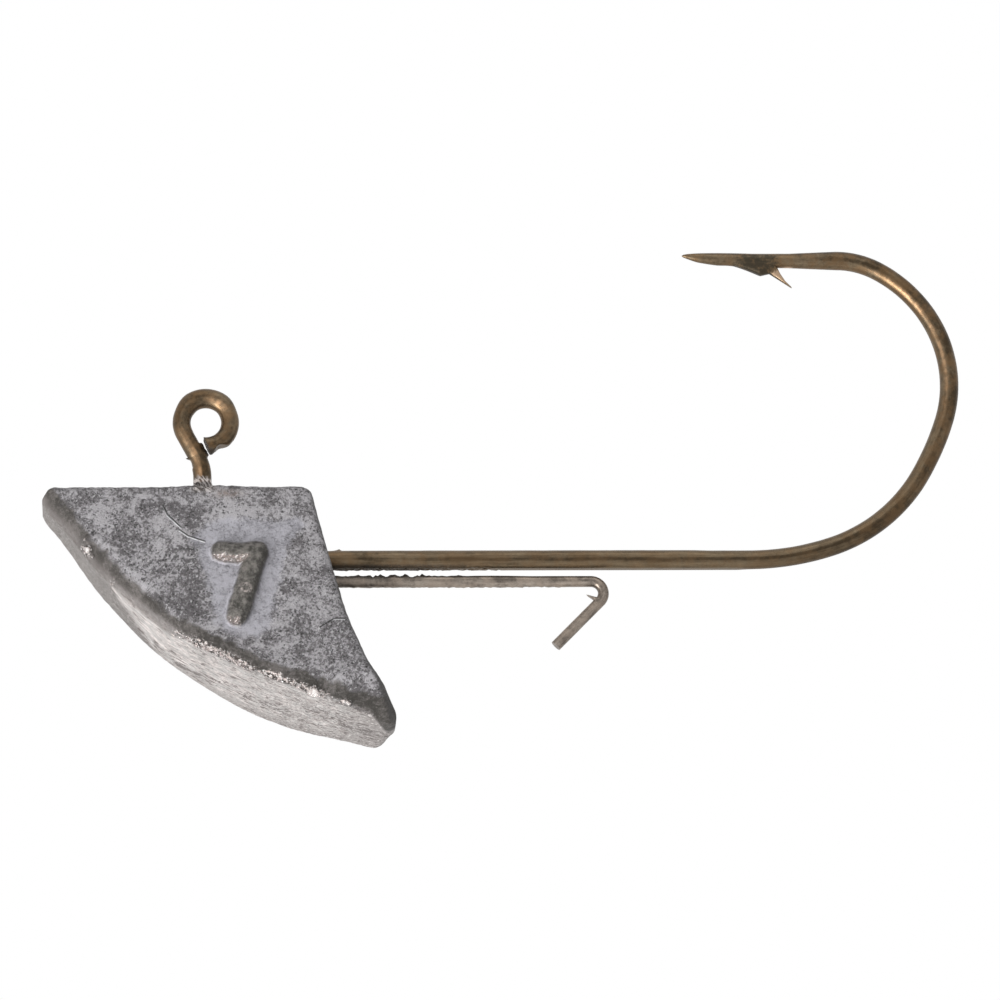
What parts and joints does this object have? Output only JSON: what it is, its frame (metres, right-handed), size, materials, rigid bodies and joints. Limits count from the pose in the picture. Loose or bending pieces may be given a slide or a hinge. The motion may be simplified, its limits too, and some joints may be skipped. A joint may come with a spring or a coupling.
{
  "type": "jig head",
  "caption": "Lead jig head for soft baits: a tapered wedge cast on a bronzed hook with an upright line eye, and a thin keeper wire that holds the bait on the shank.",
  "frame": {"origin": "centre of the line eye, in the plane of the hook", "axes": "+X along the shank from the head to the bend, +Z from the shank to the eye and the hook point, +Y through the eye away from the side with the raised figure"},
  "size_m": [0.0452, 0.0088, 0.0247],
  "materials": {
    "cast_lead": "matte oxidised cast lead, pitted, with a brighter scraped keel",
    "bronzed_wire": "dark bronzed hook wire, satin",
    "keeper_wire": "nickel-coloured wire, satin"
  },
  "bodies": {
    "root": {"lead_head": "cast_lead", "jig_hook": "bronzed_wire", "bait_keeper": "keeper_wire"}
  },
  "joints": []
}
